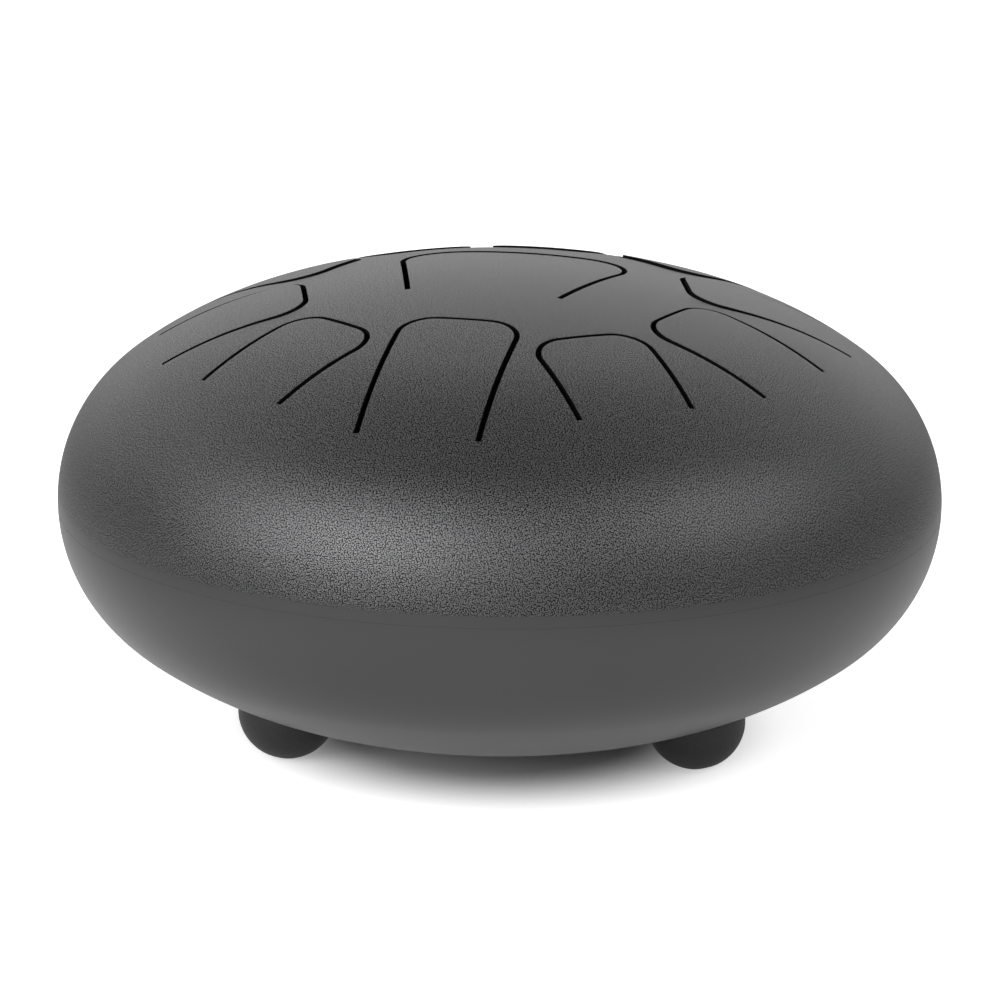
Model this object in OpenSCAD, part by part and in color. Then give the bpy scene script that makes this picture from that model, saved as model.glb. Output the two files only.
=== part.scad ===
// A steel tongue drum: two pressed steel shells welded rim to rim, ten tongues in
// a ring and one in the middle of the upper shell, a sound port in the lower shell
// and three rubber feet, each held by a screw, two washers and a lock nut with a
// nylon insert.
// Millimetres, +Z up. The origin is on the floor, on the drum's axis, and the
// longest tongue of the ring points along -Y.

/* [Shells] */
// Outside diameter of the drum, at the weld
rim_d = 300; // [290:1:310]
// Radius of the shallow crown of each pressing
crown_r = 300; // [280:1:330]
// Width of the shoulder band between the crown and the rim, seen from above
shoulder_w = 44; // [38:0.5:52]
// Width of the rounded rim band, seen from above
rim_band_w = 22; // [19:0.5:25]
// Radius of the rounded rim of each pressing
rim_r = 55; // [50:0.5:60]
// Thickness of the steel sheet
sheet_t = 1.8; // [1.2:0.1:2.5]
// Diameter of the sound port in the lower shell
port_d = 76; // [50:1:90]

/* [Weld] */
// Width of the weld on the outside, where it is ground flush
weld_w = 4; // [2.5:0.1:6]
// Gap between the shells at the inside of the weld
weld_root_gap = 1; // [0.6:0.1:2]
// Radius of the bead that the weld leaves inside the drum
weld_bead_r = 1.5; // [1.1:0.1:2.5]

/* [Tongues] */
// Width of each tongue in the ring, between the middles of its slots
tongue_w = 39.6; // [36:0.2:42]
// Width of the slots
slot_w = 2; // [1.4:0.1:2.6]
// Corner radius at the tips of the tongues in the ring
tongue_corner_r = 11.2; // [6:0.2:14]
// Distance from the drum's axis to the tip of the middle tongue
middle_tip = 35.6; // [32:0.2:37]
// Distance from the drum's axis to the root of the middle tongue
middle_root = 26.8; // [20:0.2:30]
// Width of the middle tongue at its tip, as if its corners were sharp
middle_tip_w = 88; // [76:0.5:90]
// Width of the middle tongue at its root
middle_root_w = 51.6; // [46:0.2:54]
// Corner radius at the tip of the middle tongue
middle_corner_r = 17.4; // [12:0.2:20]

/* [Feet] */
// Diameter of the sphere that each rubber dome is part of
foot_d = 33.6; // [31:0.1:36]
// Height of each dome, square to the shell
foot_h = 15.75; // [14.5:0.05:16.5]
// Diameter of the circle through the middles of the feet, on the shell
foot_circle_d = 159.2; // [140:0.2:180]
// Turn of the feet away from one foot straight behind the middle
foot_turn = 9.6; // [-30:0.1:30]
// Depth by which the domes are pressed flat on the floor
foot_flat = 0.25; // [0.1:0.05:0.5]
// Thickness of the rubber between the shell and the screw's washer
foot_floor_t = 7; // [5:0.5:8]

/* [Fasteners] */
// Thread diameter of the screws
screw_d = 4; // [3:0.5:4]
// Diameter of the screws' pan heads
head_d = 8; // [6:0.1:8.4]
// Height of the pan heads
head_h = 3.1; // [2.4:0.1:3.4]
// Outside diameter of the washers in the feet
foot_washer_d = 9; // [8.6:0.1:9.4]
// Thickness of the washers in the feet
foot_washer_t = 0.8; // [0.5:0.1:1]
// Outside diameter of the washers inside the drum
shell_washer_d = 12; // [9:0.5:14]
// Thickness of the washers inside the drum
shell_washer_t = 1; // [0.8:0.1:1.5]
// Width of the lock nuts across their flats
nut_af = 7; // [6:0.1:8]
// Height of the six-sided part of the nuts
nut_h = 3.2; // [2.4:0.1:4]
// Height of the round collar on top of the nuts
nut_collar_h = 1.8; // [1:0.1:2.5]

/* [Hidden] */
$fn = 192;
// Overrun of every cut past the surface that it opens
over = 1;
// Play between a screw and the holes that it passes through
hole_gap = 0.25;
// Play between a screw and its nut, and between a foot and its washer
thread_gap = 0.05;
seat_gap = 0.2;
// Length of thread that stands out of each nut
screw_tail = 2;
// Cross recess of the screws: the width and reach of its wings, and its depth
cross_w = 0.9;
cross_reach = 2.2;
cross_depth = 1.7;
// Wall of each nut's collar round its nylon insert, and the lip that holds it in
collar_wall = 0.5;
lip_t = 0.5;

rim_radius = rim_d / 2;
port_r = port_d / 2;
foot_r = foot_d / 2;
screw_r = screw_d / 2;
hole_r = screw_r + hole_gap;

// Each pressing is three arcs that meet without a corner: crown, shoulder, rim.
rim_edge = rim_radius - rim_band_w;
crown_edge = rim_edge - shoulder_w;
crown_slope = asin(crown_edge / crown_r);
rim_slope = asin(1 - rim_band_w / rim_r);
shoulder_r = (rim_edge - crown_edge) / (sin(rim_slope) - sin(crown_slope));
rim_h = rim_r * cos(rim_slope);
shoulder_h = shoulder_r * (cos(crown_slope) - cos(rim_slope));
crown_h = crown_r * (1 - cos(crown_slope));
shell_h = rim_h + shoulder_h + crown_h;
crown_middle = [0, shell_h - crown_r];
shoulder_middle = [crown_edge - shoulder_r * sin(crown_slope), rim_h - shoulder_r * cos(rim_slope)];
rim_middle = [rim_radius - rim_r, 0];

// Slope and height of the outside of a pressing at a distance from the axis
function slope_at(r) =
    r <= crown_edge ? asin(r / crown_r) : asin((r - shoulder_middle[0]) / shoulder_r);
function height_at(r) =
    r <= crown_edge
        ? crown_middle[1] + crown_r * cos(slope_at(r))
        : shoulder_middle[1] + shoulder_r * cos(slope_at(r));

// Tips of the ring's tongues as shares of the radius where square tongues would
// touch, their roots as shares of the rim's radius, and their widths as shares of
// tongue_w, counter-clockwise from the front
tip_shares = [0.831, 1.058, 1.021, 0.976, 1.03, 0.913, 0.983, 1.007, 1.035, 1.075];
root_shares = [0.784, 0.733, 0.745, 0.776, 0.778, 0.75, 0.78, 0.768, 0.764, 0.744];
width_shares = [1, 0.99, 1.03, 0.99, 1, 1, 1, 1, 1.03, 1];
ring_count = len(tip_shares);
ring_pitch = 360 / ring_count;
ring_start = 270;
touch_r = tongue_w / 2 / sin(ring_pitch / 2);
middle_flare = atan((middle_tip_w - middle_root_w) / 2 / (middle_tip + middle_root));

foot_count = 3;
foot_pitch = 360 / foot_count;
foot_start = 210;
foot_circle_r = foot_circle_d / 2;
foot_lean = slope_at(foot_circle_r);
// Depth of each dome's middle behind the skin of the shell
foot_inset = foot_r - foot_h;
equator_z = height_at(foot_circle_r) + foot_r - foot_flat - foot_inset * cos(foot_lean);
// Lift that seats a flat washer on the hollow inside of the sheet
washer_r = shell_washer_d / 2;
hollow_r = (foot_circle_r <= crown_edge ? crown_r : shoulder_r) - sheet_t;
washer_lift = hollow_r - sqrt(hollow_r * hollow_r - washer_r * washer_r);
washer_seat = sheet_t + washer_lift;
nut_seat = washer_seat + shell_washer_t;
screw_tip = nut_seat + nut_h + nut_collar_h + screw_tail;
head_seat = -foot_floor_t - foot_washer_t;
recess_r = foot_washer_d / 2 + seat_gap;
collar_r = nut_af / 2 - seat_gap;
insert_r = collar_r - collar_wall - thread_gap;
insert_h = nut_collar_h - lip_t;
lip_r = (screw_r + insert_r) / 2;

steel = [0.33, 0.33, 0.34];
rubber = [0.09, 0.09, 0.10];
zinc = [0.74, 0.75, 0.77];
nylon = [0.92, 0.91, 0.88];

// Sector of a disc between two slopes, both measured from straight up
module sector(middle, radius, from, to) {
    reach = 2 * radius;
    translate(middle)
        intersection() {
            circle(r = radius);
            polygon([[0, 0], reach * [sin(from), cos(from)], reach * [sin(to), cos(to)]]);
        }
}

// Half section of a filled pressing, drawn in from its outside by an inset. Its
// three sectors stand on the straight-sided shape between the ends of their arcs.
module half_section(inset) {
    intersection() {
        union() {
            sector(crown_middle, crown_r - inset, 0, crown_slope);
            sector(shoulder_middle, shoulder_r - inset, crown_slope, rim_slope);
            sector(rim_middle, rim_r - inset, rim_slope, 90);
            polygon([
                [0, 0],
                [0, shell_h - inset],
                crown_middle + (crown_r - inset) * [sin(crown_slope), cos(crown_slope)],
                rim_middle + (rim_r - inset) * [sin(rim_slope), cos(rim_slope)],
                [rim_radius - inset, 0]
            ]);
        }
        square([rim_radius + over, shell_h + over]);
    }
}

// V-shaped gap between the shells' edges, which the weld fills
module weld_gap() {
    half_out = weld_w / 2;
    half_in = weld_root_gap / 2;
    flank = (half_out - half_in) / sheet_t;
    far = half_out + flank * over;
    polygon([
        [rim_radius - sheet_t - over, -half_in],
        [rim_radius - sheet_t, -half_in],
        [rim_radius + over, -far],
        [rim_radius + over, far],
        [rim_radius - sheet_t, half_in],
        [rim_radius - sheet_t - over, half_in]
    ]);
}

// One pressing, standing on the weld's middle plane
module pressing() {
    rotate_extrude()
        difference() {
            half_section(0);
            half_section(sheet_t);
            weld_gap();
        }
}

// Tongue in plan, from tip to root along x, with rounded corners at its tip. flare
// is the slope of its sides, grow moves its outline out and beyond lengthens it.
module tongue_plan(tip, root, tip_w, corner_r, flare, grow, beyond) {
    setback = corner_r * tan((90 + flare) / 2);
    straight = tip_w / 2 - setback;
    side = (root - tip) / cos(flare) - setback + beyond;
    corner = [tip + corner_r, straight];
    side_start = corner + (corner_r + grow) * [sin(flare), cos(flare)];
    side_end = side_start + side * [cos(flare), -sin(flare)];
    polygon([
        [tip - grow, straight],
        side_start,
        side_end,
        [side_end[0], -side_end[1]],
        [side_start[0], -side_start[1]],
        [tip - grow, -straight]
    ]);
    for (way = [0, 1])
        mirror([0, way])
            translate(corner)
                circle(r = corner_r + grow);
}

// U-shaped slot round a tongue: across its tip and down its sides
module slot(tip, root, tip_w, corner_r, flare) {
    difference() {
        tongue_plan(tip, root, tip_w, corner_r, flare, slot_w / 2, 0);
        tongue_plan(tip, root, tip_w, corner_r, flare, -slot_w / 2, over);
    }
}

module ring_slots() {
    for (i = [0 : ring_count - 1])
        rotate(ring_start + i * ring_pitch)
            slot(
                tip_shares[i] * touch_r,
                root_shares[i] * rim_radius,
                width_shares[i] * tongue_w,
                tongue_corner_r,
                0
            );
}

module middle_slot() {
    rotate(ring_start)
        slot(-middle_tip, middle_root, middle_tip_w, middle_corner_r, middle_flare);
}

module upper_shell() {
    color(steel)
        translate([0, 0, equator_z])
            difference() {
                pressing();
                linear_extrude(shell_h + over) {
                    ring_slots();
                    middle_slot();
                }
            }
}

// Frame of a foot: its origin on the outside of the lower shell, its z square to
// the sheet and pointing into the drum
module at_foot(i) {
    rotate(foot_start + foot_turn + i * foot_pitch)
        translate([foot_circle_r, 0, equator_z - height_at(foot_circle_r)])
            rotate([0, -foot_lean, 0])
                children();
}

module lower_shell() {
    color(steel)
        difference() {
            translate([0, 0, equator_z])
                mirror([0, 0, 1])
                    pressing();
            translate([0, 0, equator_z - shell_h - over])
                cylinder(r = port_r, h = shell_h);
            for (i = [0 : foot_count - 1])
                at_foot(i)
                    translate([0, 0, -over])
                        cylinder(r = hole_r, h = sheet_t + 2 * over);
        }
}

module seam_weld() {
    color(steel)
        translate([0, 0, equator_z])
            rotate_extrude() {
                intersection() {
                    translate(rim_middle)
                        difference() {
                            circle(r = rim_r);
                            circle(r = rim_r - sheet_t);
                        }
                    weld_gap();
                }
                intersection() {
                    translate([rim_radius - sheet_t, 0])
                        circle(r = weld_bead_r);
                    union() {
                        translate(rim_middle)
                            circle(r = rim_r - sheet_t);
                        weld_gap();
                    }
                }
            }
}

// Rubber dome, shaped to the shell above it and flat where it meets the floor
module foot(i) {
    color(rubber)
        difference() {
            at_foot(i)
                difference() {
                    translate([0, 0, foot_inset])
                        sphere(r = foot_r);
                    translate([0, 0, -foot_h - over])
                        cylinder(r = recess_r, h = foot_h + over - foot_floor_t);
                    translate([0, 0, -foot_h])
                        cylinder(r = hole_r, h = 2 * foot_h);
                }
            translate([0, 0, equator_z])
                mirror([0, 0, 1])
                    rotate_extrude()
                        half_section(0);
            translate([-rim_radius, -rim_radius, -foot_r])
                cube([rim_d, rim_d, foot_r]);
        }
}

module washer(outer_r, bore_r, thickness) {
    difference() {
        cylinder(r = outer_r, h = thickness);
        translate([0, 0, -over])
            cylinder(r = bore_r, h = thickness + 2 * over);
    }
}

module foot_washer(i) {
    color(zinc)
        at_foot(i)
            translate([0, 0, head_seat])
                washer(foot_washer_d / 2, hole_r, foot_washer_t);
}

module shell_washer(i) {
    color(zinc)
        at_foot(i)
            translate([0, 0, washer_seat])
                washer(washer_r, hole_r, shell_washer_t);
}

// Lock nut: a six-sided body with a round collar, turned in over its nylon insert
module nut(i) {
    color(zinc)
        at_foot(i)
            translate([0, 0, nut_seat])
                difference() {
                    union() {
                        cylinder(d = nut_af / cos(30), h = nut_h, $fn = 6);
                        cylinder(r = collar_r, h = nut_h + nut_collar_h);
                    }
                    translate([0, 0, -over])
                        cylinder(r = screw_r + thread_gap, h = nut_h + 2 * over);
                    translate([0, 0, nut_h])
                        cylinder(r = insert_r + thread_gap, h = insert_h);
                    translate([0, 0, nut_h])
                        cylinder(r = lip_r, h = nut_collar_h + over);
                }
}

module nut_insert(i) {
    color(nylon)
        at_foot(i)
            translate([0, 0, nut_seat + nut_h])
                washer(insert_r, screw_r + thread_gap, insert_h);
}

// Pan head screw, driven from below: domed head, cross recess and shank
module screw(i) {
    dome_r = (head_d * head_d / 4 + head_h * head_h) / (2 * head_h);
    color(zinc)
        at_foot(i)
            difference() {
                union() {
                    intersection() {
                        translate([0, 0, head_seat - head_h + dome_r])
                            sphere(r = dome_r);
                        translate([0, 0, head_seat - head_h - over])
                            cylinder(d = head_d, h = head_h + over);
                    }
                    translate([0, 0, head_seat - screw_r])
                        cylinder(r = screw_r, h = screw_tip - head_seat + screw_r);
                }
                for (turn = [0, 90])
                    rotate(turn)
                        translate([-cross_reach, -cross_w / 2, head_seat - head_h - over])
                            cube([2 * cross_reach, cross_w, cross_depth + over]);
            }
}

module foot_front_left() { foot(0); }
module foot_front_right() { foot(1); }
module foot_rear() { foot(2); }
module foot_washer_front_left() { foot_washer(0); }
module foot_washer_front_right() { foot_washer(1); }
module foot_washer_rear() { foot_washer(2); }
module screw_front_left() { screw(0); }
module screw_front_right() { screw(1); }
module screw_rear() { screw(2); }
module shell_washer_front_left() { shell_washer(0); }
module shell_washer_front_right() { shell_washer(1); }
module shell_washer_rear() { shell_washer(2); }
module nut_front_left() { nut(0); }
module nut_front_right() { nut(1); }
module nut_rear() { nut(2); }
module nut_insert_front_left() { nut_insert(0); }
module nut_insert_front_right() { nut_insert(1); }
module nut_insert_rear() { nut_insert(2); }

upper_shell();
lower_shell();
seam_weld();
foot_front_left();
foot_front_right();
foot_rear();
foot_washer_front_left();
foot_washer_front_right();
foot_washer_rear();
screw_front_left();
screw_front_right();
screw_rear();
shell_washer_front_left();
shell_washer_front_right();
shell_washer_rear();
nut_front_left();
nut_front_right();
nut_rear();
nut_insert_front_left();
nut_insert_front_right();
nut_insert_rear();
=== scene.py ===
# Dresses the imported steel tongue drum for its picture: coated pressings with
# rounded cuts, moulded rubber feet, zinc plated fasteners and a white studio.
import math
from functools import partialmethod, reduce

import bpy
from bpy.props import FloatProperty, FloatVectorProperty, IntProperty, PointerProperty
from bpy.types import Operator, Panel, PropertyGroup
from mathutils import Matrix, Vector


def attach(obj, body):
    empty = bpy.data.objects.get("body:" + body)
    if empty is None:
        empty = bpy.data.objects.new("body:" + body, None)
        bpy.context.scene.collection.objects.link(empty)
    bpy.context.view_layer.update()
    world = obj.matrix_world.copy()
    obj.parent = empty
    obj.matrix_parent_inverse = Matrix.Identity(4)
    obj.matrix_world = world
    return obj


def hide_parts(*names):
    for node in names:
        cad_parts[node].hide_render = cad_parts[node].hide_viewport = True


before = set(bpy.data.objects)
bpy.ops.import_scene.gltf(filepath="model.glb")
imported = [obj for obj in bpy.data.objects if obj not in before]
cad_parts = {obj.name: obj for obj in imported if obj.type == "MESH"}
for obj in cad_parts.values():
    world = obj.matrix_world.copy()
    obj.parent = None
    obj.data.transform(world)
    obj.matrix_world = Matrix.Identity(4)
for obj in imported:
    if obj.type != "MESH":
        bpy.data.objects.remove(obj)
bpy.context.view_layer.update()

bl_info = {
    "name": "Steel tongue drum",
    "version": (1, 0, 0),
    "blender": (4, 5, 0),
    "location": "3D View > Sidebar > Drum",
    "description": "Shells, feet, fasteners and studio of a steel tongue drum",
    "category": "Object",
}

FEET = ("front_left", "front_right", "rear")

# The same shares as the part's source, counter-clockwise from the front
TIP_SHARES = (0.831, 1.058, 1.021, 0.976, 1.03, 0.913, 0.983, 1.007, 1.035, 1.075)
ROOT_SHARES = (0.784, 0.733, 0.745, 0.776, 0.778, 0.75, 0.78, 0.768, 0.764, 0.744)
WIDTH_SHARES = (1, 0.99, 1.03, 0.99, 1, 1, 1, 1, 1.03, 1)
# How far the cuts' freed stress springs each tip off the crown, as shares of the sheet
SPRING_SHARES = (0.1, 0.1, 0.25, 0.4, 0.55, 0.42, 0.3, 0.4, 0.3, 0.1)
MIDDLE_SPRING_SHARE = -0.17
RING_START = math.radians(270)

# Softboxes: degrees round from the camera, degrees up, width, height and watts
SOFTBOXES = {
    "Left softbox": (-37, 29, 2.4, 1.3, 53),
    "Right softbox": (66, 36, 2.0, 1.0, 17),
    "Left fill": (-101, 40, 1.0, 1.0, 3.5),
    "Back softbox": (180, 34, 2.6, 1.0, 2),
}


def length(name, description, default):
    return FloatProperty(
        name=name, description=description, default=default, unit="LENGTH", subtype="DISTANCE", precision=5
    )


def angle(name, description, degrees):
    return FloatProperty(name=name, description=description, default=math.radians(degrees), subtype="ANGLE")


def faces(name, description, default, least):
    return IntProperty(name=name, description=description, default=default, min=least)


def colour(name, description, default):
    return FloatVectorProperty(
        name=name, description=description, default=default, subtype="COLOR", size=3, min=0, max=1
    )


class ShellSizes(PropertyGroup):
    rim_d: length("Rim diameter", "Outside diameter at the weld", 0.3)
    crown_r: length("Crown radius", "Radius of the shallow crown", 0.3)
    shoulder_w: length("Shoulder width", "Shoulder band seen from above", 0.044)
    rim_band_w: length("Rim band width", "Rounded rim seen from above", 0.022)
    rim_r: length("Rim radius", "Radius of the rounded rim", 0.055)
    sheet_t: length("Sheet thickness", "Thickness of the steel sheet", 0.0018)
    equator_z: length("Weld height", "Height of the weld above the floor", 0.082785)
    weld_w: length("Weld width", "Width of the weld outside", 0.004)
    weld_root: length("Weld root gap", "Gap between the shells inside", 0.001)
    port_d: length("Sound port", "Diameter of the sound port", 0.076)
    hole_d: length("Screw hole", "Diameter of the foot screws' holes", 0.0045)
    coat_t: length("Coat thickness", "Coat that builds up on each side of a slot", 0.0001)
    edge_r: length("Cut edge radius", "Rounding that the coat gives to cut edges", 0.00012)
    around: faces("Faces around", "Faces round the drum", 288, 48)
    rows: faces("Rows", "Rows of faces from crown to rim", 96, 16)


class TongueSizes(PropertyGroup):
    tongue_w: length("Tongue width", "Width of the ring's tongues between slot middles", 0.0396)
    slot_w: length("Slot width", "Width of the slots in the bare steel", 0.002)
    corner_r: length("Corner radius", "Corner radius at the ring tongues' tips", 0.0112)
    middle_tip: length("Middle tip", "Axis to the tip of the middle tongue", 0.0356)
    middle_root: length("Middle root", "Axis to the root of the middle tongue", 0.0268)
    middle_tip_w: length("Middle tip width", "Width of the middle tongue at its tip", 0.088)
    middle_root_w: length("Middle root width", "Width of the middle tongue at its root", 0.0516)
    middle_corner_r: length("Middle corner radius", "Corner radius at the middle tongue's tip", 0.0174)


class FootSizes(PropertyGroup):
    foot_d: length("Foot diameter", "Diameter of each rubber dome's sphere", 0.0336)
    foot_h: length("Foot height", "Height of each dome, square to the shell", 0.01575)
    circle_d: length("Foot circle", "Diameter of the feet's circle on the shell", 0.1592)
    turn: angle("Foot turn", "Direction of the front left foot from the axis", 219.6)
    lean: angle("Foot lean", "Lean of the feet, square to the shell", 15.386266)
    floor_t: length("Rubber floor", "Rubber between the shell and the washer", 0.007)
    recess_d: length("Recess", "Diameter of the recess round the screw's head", 0.0094)
    edge_r: length("Foot edge radius", "Rounding of the domes' edges", 0.0005)
    gap: length("Settled gap", "Gap between each dome's top and the shell", 0.00002)


class FastenerSizes(PropertyGroup):
    screw_d: length("Screw", "Thread diameter of the screws", 0.004)
    pitch: length("Thread pitch", "Rise of the thread in one turn", 0.0007)
    thread_depth: length("Thread depth", "Depth of the thread", 0.00038)
    head_d: length("Head diameter", "Diameter of the pan heads", 0.008)
    head_h: length("Head height", "Height of the pan heads", 0.0031)
    head_edge_r: length("Head edge radius", "Rounding under the rim of the pan heads", 0.00025)
    cross_w: length("Cross width", "Width of the cross recess's wings", 0.0009)
    cross_reach: length("Cross reach", "Reach of the cross recess's wings", 0.0022)
    cross_depth: length("Cross depth", "Depth of the cross recess", 0.0017)
    foot_washer_d: length("Foot washer", "Diameter of the washers in the feet", 0.009)
    foot_washer_t: length("Foot washer thickness", "Thickness of the feet's washers", 0.0008)
    shell_washer_d: length("Shell washer", "Diameter of the washers inside the drum", 0.012)
    shell_washer_t: length("Shell washer thickness", "Thickness of the inner washers", 0.001)
    nut_af: length("Nut across flats", "Width of the lock nuts over their flats", 0.007)
    nut_h: length("Nut height", "Height of the six-sided part of the nuts", 0.0032)
    collar_h: length("Collar height", "Height of the collar on top of the nuts", 0.0018)
    collar_wall: length("Collar wall", "Wall of the collar round its nylon insert", 0.0005)
    collar_step: length("Collar step", "Step from the nut's flats in to its collar", 0.0002)
    collar_edge_r: length("Collar edge radius", "Rounding of the collar's outer edge", 0.00045)
    lip: length("Collar lip", "Lip rolled over the nylon insert", 0.0005)
    lip_edge_r: length("Lip edge radius", "Rounding of the lip's mouth", 0.0001)
    tail: length("Screw tail", "Thread that stands out of each nut", 0.002)
    play: length("Thread play", "Play between a screw and its nut", 0.00005)
    around: faces("Faces around each", "Faces round each fastener, in sixes", 72, 24)


class Finish(PropertyGroup):
    coat: colour("Coat", "Dark grey of the powder coat", (0.005, 0.005, 0.0052))
    flake: colour("Flake", "Colour of the metal flakes in the coat", (0.141, 0.141, 0.144))
    grain: length("Grain", "Spacing of the flakes that show above the weld", 0.00055)
    # Near-black of the cut faces: partly the thin coat's own tone, partly painted shade inside the slots, port
    # and holes
    cut: colour("Cut", "Black at the bottom of the cuts", (0.001, 0.001, 0.001))
    rubber: colour("Rubber", "Black of the rubber feet", (0.009, 0.009, 0.0095))
    dust: colour("Dust", "Dust on the rubber feet", (0.05, 0.05, 0.05))
    zinc: colour("Zinc", "Bright zinc plate", (0.6, 0.61, 0.63))
    nylon: colour("Nylon", "Natural white nylon of the lock nuts' inserts", (0.8, 0.79, 0.75))


class StudioSettings(PropertyGroup):
    azimuth: angle("Azimuth", "Direction of the camera from the axis", 282.907)
    elevation: angle("Elevation", "Height of the camera above the horizon", 15.673)
    roll: angle("Roll", "Turn of the picture", 0.448)
    distance: length("Distance", "Camera to the middle of the weld's plane", 1.65)
    lens: FloatProperty(name="Lens", description="Focal length in millimetres", default=174.24)
    lamp_distance: length("Lamp distance", "Softboxes to the middle of the weld's plane", 2.2)
    floor_reach: length("Floor reach", "Axis to the edges of the floor", 12)
    floor: colour("Floor", "Pale floor", (0.8, 0.8, 0.8))
    # Darker floor colour that only mirrored rays see far from the drum: painted shade in the drum's
    # reflections
    far_floor_mirrored_shade: colour("Far floor", "The floor's far parts as the drum mirrors them", (0.45, 0.45, 0.45))


class Value:
    """A number inside a node tree, so that node maths reads as Python."""

    def __init__(self, nodes, socket):
        self.nodes = nodes
        self.socket = socket

    def math(self, operation, *others):
        return self.nodes.math(operation, self, *others)

    def __rsub__(self, other):
        return self.nodes.math("SUBTRACT", other, self)

    def __rtruediv__(self, other):
        return self.nodes.math("DIVIDE", other, self)

    def __neg__(self):
        return self.math("MULTIPLY", -1)

    __add__ = __radd__ = partialmethod(math, "ADD")
    __sub__ = partialmethod(math, "SUBTRACT")
    __mul__ = __rmul__ = partialmethod(math, "MULTIPLY")
    __truediv__ = partialmethod(math, "DIVIDE")
    __lt__ = partialmethod(math, "LESS_THAN")
    __gt__ = partialmethod(math, "GREATER_THAN")


class Nodes:
    """Adds and links the nodes of one tree."""

    def __init__(self, tree):
        self.tree = tree

    def node(self, kind, settings=None, sockets=None):
        made = self.tree.nodes.new(kind)
        for name, value in (settings or {}).items():
            setattr(made, name, value)
        for key, value in (sockets or {}).items():
            self.feed(made.inputs[key], value)
        return made

    def own(self, kind):
        """The node of a kind that the tree came with."""
        return next(node for node in self.tree.nodes if node.type == kind)

    def feed(self, socket, value):
        if isinstance(value, Value):
            value = value.socket
        if isinstance(value, bpy.types.NodeSocket):
            self.tree.links.new(value, socket)
        else:
            socket.default_value = value

    def made(self, kind, sockets=None, output=0, **settings):
        """Adds a node and gives one of its outputs."""
        return self.node(kind, settings, sockets).outputs[output]

    def value(self, kind, sockets=None, output=0, **settings):
        """Adds a node and gives one of its outputs, ready for maths."""
        return Value(self, self.made(kind, sockets, output, **settings))

    def math(self, operation, *values):
        return self.value("ShaderNodeMath", dict(enumerate(values)), operation=operation)

    sin = partialmethod(math, "SINE")
    cos = partialmethod(math, "COSINE")
    root = partialmethod(math, "SQRT")

    def pick(self, test, yes, no):
        return no + test * (yes - no)

    def clamp(self, value, low, high):
        return self.value("ShaderNodeClamp", {0: value, 1: low, 2: high})

    def ease(self, value, low, high, start, end):
        """Turns smoothly from start, at low, to end, at high."""
        ends = {0: value, 1: low, 2: high, 3: start, 4: end}
        return self.value("ShaderNodeMapRange", ends, interpolation_type="SMOOTHSTEP")

    def vector(self, x, y, z):
        return self.value("ShaderNodeCombineXYZ", {0: x, 1: y, 2: z})

    def round_axis(self, r, turn, z):
        """Place at a distance from the axis, a turn and a height."""
        return self.vector(r * self.cos(turn), r * self.sin(turn), z)

    def split(self, vector):
        parts = self.node("ShaderNodeSeparateXYZ", None, {0: vector})
        return [Value(self, output) for output in parts.outputs]

    def choose(self, kind, index, items):
        """Picks one of several values by a whole number."""
        made = self.node("GeometryNodeIndexSwitch", {"data_type": kind})
        while len(made.index_switch_items) < len(items):
            made.index_switch_items.new()
        self.feed(made.inputs[0], index)
        for socket, item in zip(made.inputs[1:], items):
            self.feed(socket, item)
        return Value(self, made.outputs[0])

    # Geometry

    def position(self):
        return self.made("GeometryNodeInputPosition")

    def here(self):
        """Coordinates of the point that is worked on."""
        return self.split(self.position())

    def index(self):
        return self.value("GeometryNodeInputIndex")

    def put(self, geometry, place):
        """Moves every point to its place."""
        return self.made("GeometryNodeSetPosition", {"Geometry": geometry, "Position": place})

    def carry(self, geometry, way, spin=None):
        """Turns a geometry by the three angles of spin, then moves it."""
        sockets = {"Geometry": geometry, "Translation": way}
        if spin:
            sockets["Rotation"] = self.made("FunctionNodeEulerToRotation", {0: self.vector(*spin)})
        return self.made("GeometryNodeTransform", sockets)

    def coat(self, geometry, material, where=True):
        sockets = {"Geometry": geometry, "Selection": where, "Material": material}
        return self.made("GeometryNodeSetMaterial", sockets)

    def curve_through(self, count, place, closed=True):
        """Curve of straight stretches through as many points."""
        line = self.made("GeometryNodeMeshLine", {"Count": count}, mode="OFFSET")
        curve = self.made("GeometryNodeMeshToCurve", {"Mesh": self.put(line, place)})
        return self.made("GeometryNodeSetSplineCyclic", {"Geometry": curve, "Cyclic": closed})

    def round_off(self, curve, radius, steps):
        sockets = {"Curve": curve, "Count": steps, "Radius": radius, "Limit Radius": True}
        return self.made("GeometryNodeFilletCurve", sockets, mode="POLY")

    def ring(self, sides, radius):
        sockets = {"Resolution": sides, "Radius": radius}
        return self.made("GeometryNodeCurvePrimitiveCircle", sockets, mode="RADIUS")

    def sweep(self, curve, normal, profile, caps=False):
        """Sweeps a profile along a curve, with the profile's X along the given directions."""
        upright = self.made("GeometryNodeSetCurveNormal", {"Curve": curve, "Normal": normal}, mode="FREE")
        sockets = {"Curve": upright, "Profile Curve": profile, "Fill Caps": caps}
        return self.made("GeometryNodeCurveToMesh", sockets)

    def rod(self, sides, radius, depth):
        return self.made("GeometryNodeMeshCylinder", {"Vertices": sides, "Radius": radius, "Depth": depth})

    def grid(self, columns, rows):
        """Flat square to be bent, one metre wide, with its middle at the origin."""
        sockets = {"Size X": 1.0, "Size Y": 1.0, "Vertices X": columns + 1, "Vertices Y": rows + 1}
        return self.made("GeometryNodeMeshGrid", sockets)

    def merge(self, mesh):
        return self.made("GeometryNodeMergeByDistance", {"Geometry": mesh, "Distance": 1e-6})

    def join(self, pieces):
        return self.gather(self.node("GeometryNodeJoinGeometry"), 0, pieces)

    def cut(self, body, cutters):
        settings = {"operation": "DIFFERENCE", "solver": "MANIFOLD"}
        return self.gather(self.node("GeometryNodeMeshBoolean", settings, {0: body}), 1, cutters)

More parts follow.
